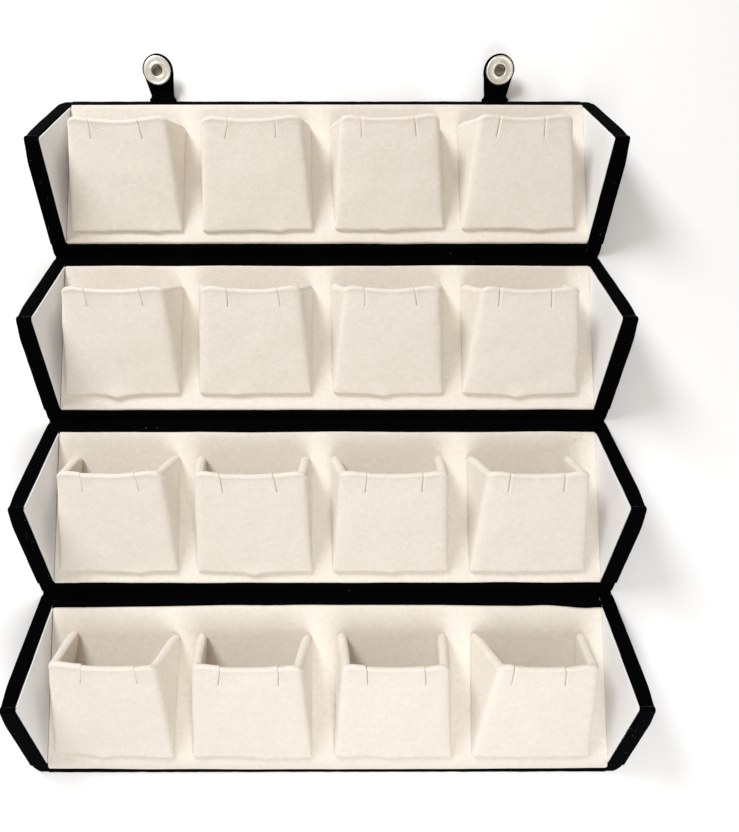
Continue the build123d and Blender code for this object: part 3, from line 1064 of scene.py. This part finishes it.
def strap_rings(axis, side_name):
    """Rings across a strap, from inside the section, round its bend and out to its head's tip."""
    flat, slanted = Vector((1, 0)), Vector((cos(strap_tilt), sin(strap_tilt)))
    rings = []
    distances = stations(-strap_root_inside, strap_reach * strap_neck_end, strap_step)
    heads = [strap_reach + strap_head_radius * sin(pi / 2 * share) for share in stations(-0.2, 0.9985, 0.05)]
    distances += [distance for distance in heads if distance > strap_reach * strap_head_start]
    for distance in distances:
        bend = min(max((distance + strap_bend) / (2 * strap_bend), 0), 1)
        if distance <= -strap_bend:
            where, along = flat * distance, flat
        elif distance >= strap_bend:
            where, along = slanted * distance, slanted
        else:
            enter, leave = flat * -strap_bend, slanted * strap_bend
            where = (enter * (1 - bend)).lerp(leave * bend, bend)
            along = flat.lerp(slanted, bend).normalized()
        normal = Vector((-along.y, along.x))
        outward = distance - strap_reach
        round_head = sqrt(max(strap_head_radius**2 - outward**2, 0.0))
        neck = strap_half_width + (strap_head_radius - strap_half_width) * min(distance / strap_reach, 1)
        half_width = round_head if outward > 0 else max(neck, round_head)
        past_edge = max(distance - strap_edge_place, 0) / strap_flare_reach
        half_width += strap_flare * max(0.0, 1 - past_edge) ** strap_flare_power
        half_width = max(half_width, strap_least_half)
        shift = neck_shift[side_name] * (1 - min(max(distance, 0) / strap_reach, 1))
        edge = min(strap_edge, half_width * 0.9)
        ring = []
        for turn_x, turn_z in ((1, -1), (1, 1), (-1, 1), (-1, -1)):
            for step in range(4):
                turn = pi / 2 * step / 3
                if turn_x * turn_z < 0:
                    turn = pi / 2 - turn
                x = turn_x * (half_width - edge + edge * cos(turn))
                height = turn_z * (strap_thickness / 2 - strap_edge + strap_edge * sin(turn))
                spot = where + normal * height
                ring.append(Vector((axis.x + shift + x, axis.y + spot.x, axis.z + spot.y)))
        rings.append(ring)
    return rings


for side_name, joint in strap_joints.items():
    axis = Vector(joint["pos_m"])
    rings = strap_rings(axis, side_name)
    rings = [[ripple(point, strap_ripple, strap_ripple_size) for point in ring] for ring in rings]
    name = f"velvet_strap_{side_name}"
    strap = add_piece(name, mesh_of_rings(name, rings), black_velvet)
    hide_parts(f"strap_{side_name}", "strap_roots")
    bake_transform(strap)


# Snaps. A turned nickel socket, with a magnet's grainy face, is held on each strap by a rivet whose
# dome shows in the hole; its plate is on the strap's other face. The studs are in the fourth back.
socket_profile = [
    (6.10, 0.00), (6.15, 0.25), (6.15, 1.15), (6.08, 1.45), (5.90, 1.68), (5.66, 1.76), (5.42, 1.72),
    (5.22, 1.60), (5.05, 1.56), (4.40, 1.54), (3.70, 1.54), (3.42, 1.60), (3.22, 1.72), (2.96, 1.76),
    (2.70, 1.70), (2.54, 1.50), (2.50, 1.25), (2.50, 0.30), (2.50, 0.02),
]
rivet_profile = [
    (2.35, 0.00), (2.36, 0.14), (2.24, 0.24), (2.06, 0.24), (1.90, 0.10), (1.80, 0.05), (1.72, 0.12),
    (1.58, 0.20), (1.34, 0.27), (1.02, 0.32), (0.60, 0.355), (0.20, 0.37), (0.02, 0.37),
]
plate_profile = [
    (3.80, 0.00), (3.96, -0.08), (4.00, -0.22), (3.90, -0.38), (3.60, -0.47), (2.60, -0.50),
    (1.60, -0.50), (1.30, -0.44), (1.00, -0.42), (0.50, -0.43), (0.02, -0.43),
]
turning_steps = 72


def make_nickel(name, dull, bright, pitting):
    """Nickel plate, a little warm, with a dulled and pitted face."""
    pits = (2600.0, 3.0, pitting, 0.0002)
    material, tree, shader, tarnish = clouded_material(
        name, 0.3, 700.0, 4.0, (dull, bright), pits, Metallic=1.0
    )
    tree.links.new(ranged(tree, tarnish, To_Min=0.34, To_Max=0.6), shader.inputs["Roughness"])
    return material


nickel = make_nickel("nickel", (0.74, 0.70, 0.58, 1), (0.98, 0.96, 0.90, 1), 0.5)
# The rivet's nickel is near-black: partly a darker metal, partly painted shade for the deep hole in the
# socket.
nickel_dark = make_nickel("nickel_dark", (0.10, 0.085, 0.055, 1), (0.32, 0.29, 0.22, 1), 0.3)


def turned(name, profile, material, centre, tilt, body, *nodes):
    """A turned piece with its profile round the middle of a strap's head."""
    turn_in = Matrix.Translation(centre) @ Matrix.Rotation(tilt, 4, "X")
    rings = []
    for radius, height in profile:
        ring = []
        for step in range(turning_steps):
            angle = 2 * pi * step / turning_steps
            spot = Vector((radius * cos(angle), radius * sin(angle), height)) * millimetre
            ring.append(turn_in @ spot)
        rings.append(ring)
    piece = add_piece(name, mesh_of_rings(name, rings), material)
    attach(piece, body)
    if nodes:
        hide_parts(*nodes)


for side_name, joint in strap_joints.items():
    body = f"strap_{side_name}"
    slanted = Vector((0, cos(strap_tilt), sin(strap_tilt)))
    upward = Vector((0, -sin(strap_tilt), cos(strap_tilt)))
    head = Vector(joint["pos_m"]) + slanted * strap_reach
    face, back = head + upward * strap_thickness / 2, head - upward * strap_thickness / 2
    # The rivet takes the near-black nickel, which paints shade into the socket's hole.
    for part, profile, material, centre in (
        ("socket", socket_profile, nickel, face), ("rivet", rivet_profile, nickel_dark, face)
    ):
        name = f"nickel_{part}_{side_name}"
        turned(name, profile, material, centre, strap_tilt, body, f"snap_{part}_{side_name}")
    turned(f"nickel_plate_{side_name}", plate_profile, nickel, back, strap_tilt, body)

studs = frame["nodes"]["snap_studs"]
studs.data.materials.clear()
studs.data.materials.append(nickel)


# Fibres. The suede cloth is cut and turned over by hand, so that short fibres of its nap stand out
# from the rims of the inserts and pockets; pale bits of thread cling to the black velvet.
fibre_spacing = 0.0006
fibre_length = 0.0006
fibre_width = 0.000045
fibre_scatter = 0.9
crumbs = [(0.0930, 0.7), (0.0945, 1.6), (0.0958, 2.2), (0.0972, 1.4), (0.0992, 1.0)]
tuft_spots = (0, 0.0002, 0.0014)
thread_density = 15000.0
fray_spacing = 0.0003
fray_length = 0.0006
thread_length = 0.0013
thread_width = 0.00006
thread_scatter = 1.4
thread_colours = (0.10, 0.10, 0.105, 1), (0.36, 0.35, 0.34, 1)


def geometry_tree(name, spread):
    """An empty tree that grows hairs on a geometry, with its inputs, of which the first spreads them."""
    tree = bpy.data.node_groups.new(name, "GeometryNodeTree")
    kinds = {"Geometry": "Geometry", spread: "Float", "Length": "Float", "Width": "Float"}
    kinds.update({"Scatter": "Float", "Seed": "Int", "Material": "Material"})
    for label, kind in kinds.items():
        tree.interface.new_socket(label, in_out="INPUT", socket_type=f"NodeSocket{kind}")
    tree.interface.new_socket("Geometry", in_out="OUTPUT", socket_type="NodeSocketGeometry")
    return tree, tree.nodes.new("NodeGroupInput").outputs, tree.nodes.new("NodeGroupOutput").inputs


def add_hairs(tree, given, result, points, away):
    """Bent hairs on points, each turned away from its surface with some chance, as one mesh."""
    length, seed = given["Length"], given["Seed"]
    taper = {"Radius Top": 0.0, "Radius Bottom": given["Width"], "Depth": length}
    hair = add_node(tree, "GeometryNodeMeshCone", {"Vertices": 3, "Side Segments": 3, **taper})
    place = add_node(tree, "GeometryNodeInputPosition").outputs[0]
    height = add_node(tree, "ShaderNodeSeparateXYZ", {0: place}).outputs["Z"]
    curl = maths(tree, "POWER", maths(tree, "DIVIDE", height, length), 2.0)
    offset = add_node(tree, "ShaderNodeCombineXYZ", {"X": maths(tree, "MULTIPLY", curl, length)}).outputs[0]
    bent = add_node(tree, "GeometryNodeSetPosition", {"Geometry": hair.outputs["Mesh"], "Offset": offset})
    limits = {0: (-1.0, -1.0, -1.0), 1: (1.0, 1.0, 1.0), 8: seed}
    chance = add_node(tree, "FunctionNodeRandomValue", limits, data_type="FLOAT_VECTOR").outputs[0]
    strayed = add_node(
        tree, "ShaderNodeVectorMath", {0: chance, "Scale": given["Scatter"]}, operation="SCALE"
    ).outputs[0]
    towards = add_node(tree, "ShaderNodeVectorMath", {0: away, 1: strayed}, operation="ADD").outputs[0]
    turn = add_node(tree, "FunctionNodeAlignRotationToVector", {"Vector": towards}, axis="Z").outputs[0]
    sizes = {2: 0.35, 3: 1.0, 8: seed}
    grade = add_node(tree, "FunctionNodeRandomValue", sizes, data_type="FLOAT").outputs[1]
    reach = add_node(tree, "ShaderNodeVectorMath", {0: away}, operation="LENGTH").outputs["Value"]
    size = maths(tree, "MULTIPLY", grade, reach)
    placed = add_node(
        tree,
        "GeometryNodeInstanceOnPoints",
        {"Points": points, "Instance": bent.outputs[0], "Rotation": turn, "Scale": size},
    )
    real = add_node(tree, "GeometryNodeRealizeInstances", {"Geometry": placed.outputs[0]}).outputs[0]
    dressed = add_node(tree, "GeometryNodeSetMaterial", {"Geometry": real, "Material": given["Material"]})
    tree.links.new(dressed.outputs[0], result["Geometry"])


def make_rim_tree():
    """Hairs along lines, which point where the lines' away vectors do."""
    tree, given, result = geometry_tree("rim_fibres", "Spacing")
    curve = add_node(tree, "GeometryNodeMeshToCurve", {"Mesh": given["Geometry"]}).outputs[0]
    spacing = {"Curve": curve, "Length": given["Spacing"]}
    spaced = add_node(tree, "GeometryNodeResampleCurve", spacing, mode="LENGTH")
    away = add_node(tree, "GeometryNodeInputNamedAttribute", {"Name": "away"}, data_type="FLOAT_VECTOR")
    add_hairs(tree, given, result, spaced.outputs[0], away.outputs[0])
    return tree


def make_thread_tree():
    """Threads scattered over a surface by chance."""
    tree, given, result = geometry_tree("clinging_threads", "Density")
    spread = add_node(
        tree,
        "GeometryNodeDistributePointsOnFaces",
        {"Mesh": given["Geometry"], "Density": given["Density"], "Seed": given["Seed"]},
    )
    add_hairs(tree, given, result, spread.outputs["Points"], spread.outputs["Normal"])
    return tree


def grow(name, mesh, tree, body, slot, **values):
    """The piece that a tree grows on a mesh, fixed to a body."""
    holder = add_object(name, mesh)
    grower = holder.modifiers.new("grow", "NODES")
    grower.node_group = tree
    for item in tree.interface.items_tree:
        if item.in_out == "INPUT" and item.name in values:
            grower[item.identifier] = values[item.name]
    piece = add_object(name, settled_mesh(holder))
    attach(piece, body)


def rooted_lines(name, rooted):
    """A mesh of open lines whose points carry an away vector each."""
    points, lines, away = [], [], []
    for line in rooted:
        lines += [(len(points) + step, len(points) + step + 1) for step in range(len(line) - 1)]
        points += [root for root, _ in line]
        away += [outward for _, outward in line]
    mesh = new_mesh(name, points, lines, [])
    outward = mesh.attributes.new("away", "FLOAT_VECTOR", "POINT")
    outward.data.foreach_set("vector", [part for vector in away for part in vector])
    return mesh


rim_tree, thread_tree = make_rim_tree(), make_thread_tree()
pale_thread = clouded_material("pale_thread", 0.9, 500.0, 2.0, thread_colours)[0]

# A few tufts of fluff stand on the last insert's far rim, near its right end
insert_rim = fibre_roots[4][1]
rim_y, rim_z = insert_rim[0][0].y, insert_rim[0][0].z
for crumb_x, reach in crumbs:
    spots = [Vector((crumb_x + along, rim_y, rim_z)) for along in tuft_spots]
    fibre_roots[4].append([(spot, Vector((0, reach, 0.5))) for spot in spots])

for number in sections:
    grow(
        f"suede_fibres_{number}", rooted_lines(f"rims_{number}", fibre_roots[number]), rim_tree,
        f"section_{number}", "cream_velvet", Spacing=fibre_spacing, Length=fibre_length, Width=fibre_width,
        Scatter=fibre_scatter, Seed=number, Material=cream_velvet,
    )
    grow(
        f"frayed_ends_{number}", rooted_lines(f"ends_{number}", lap_ends[number]), rim_tree,
        f"section_{number}", "black_velvet", Spacing=fray_spacing, Length=fray_length, Width=fibre_width,
        Scatter=fibre_scatter, Seed=number, Material=pale_thread,
    )

    points, faces = [], []
    for side_name in ("left", "right"):
        strip = bpy.data.objects[f"cap_strip_{number}_{side_name}"].data
        faces += [tuple(len(points) + index for index in polygon.vertices) for polygon in strip.polygons]
        points += [vertex.co for vertex in strip.vertices]
    dusty = new_mesh(f"dusty_{number}", points, [], faces)
    grow(
        f"velvet_threads_{number}", dusty, thread_tree, f"section_{number}", "black_velvet",
        Density=thread_density, Length=thread_length, Width=thread_width, Scatter=thread_scatter,
        Seed=10 + number, Material=pale_thread,
    )


# Stage, light and camera. A plain pale table in a room of warm light, with a large cool lamp at the
# far left and a smaller one at the front; the camera stands where the photograph was taken from.
table_half = 1.6
table_drop = 0.0002
table_colour = (0.955, 0.955, 0.95, 1)
table_cloud = 1.03
room_light = (1.0, 0.91, 0.80, 1)
room_strength = 0.44
lamps = {
    "lamp_left": ((-0.45, 0.60, 0.56), 0.37, 7.8, (0.85, 0.88, 0.93)),
    "lamp_front": ((0.05, -0.35, 0.37), 0.26, 1.35, (0.90, 0.94, 1.0)),
}
camera_place = (-0.00097, -0.03688, 0.30296)
camera_turn = (radians(5.313), radians(-0.064), radians(-0.052))
camera_lens = 29.06
camera_shift = (0.0526, 0.0045)

paler = tuple(min(1.0, part * table_cloud) for part in table_colour)
table_material = clouded_material(
    "table", 0.85, 3.0, 2.0, (table_colour, paler), Specular_IOR_Level=0.1
)[0]
corners = [(-table_half, -table_half, -table_drop), (table_half, -table_half, -table_drop)]
corners += [(table_half, table_half, -table_drop), (-table_half, table_half, -table_drop)]
table_mesh = new_mesh("table", corners, [], [(0, 1, 2, 3)])
table_mesh.materials.append(table_material)
table = add_object("table", table_mesh)

stage = bpy.context.scene
stage.world = bpy.data.worlds.new("room")
stage.world.use_nodes = True
background = stage.world.node_tree.nodes["Background"]
background.inputs["Color"].default_value = room_light
background.inputs["Strength"].default_value = room_strength

for lamp_name, (lamp_place, lamp_size, lamp_power, lamp_colour) in lamps.items():
    lamp_data = bpy.data.lights.new(lamp_name, "AREA")
    lamp_data.shape = "DISK"
    lamp_data.size = lamp_size
    lamp_data.energy = lamp_power
    lamp_data.color = lamp_colour
    lamp = add_object(lamp_name, lamp_data)
    lamp.location = lamp_place
    lamp.rotation_euler = (-Vector(lamp_place)).to_track_quat("-Z", "Y").to_euler()

camera_data = bpy.data.cameras.new("camera")
camera_data.lens = camera_lens
camera_data.shift_x, camera_data.shift_y = camera_shift
camera_data.clip_start = 0.01
camera = add_object("camera", camera_data)
camera.location = camera_place
camera.rotation_euler = camera_turn
stage.camera = camera
stage.view_settings.view_transform = "Standard"
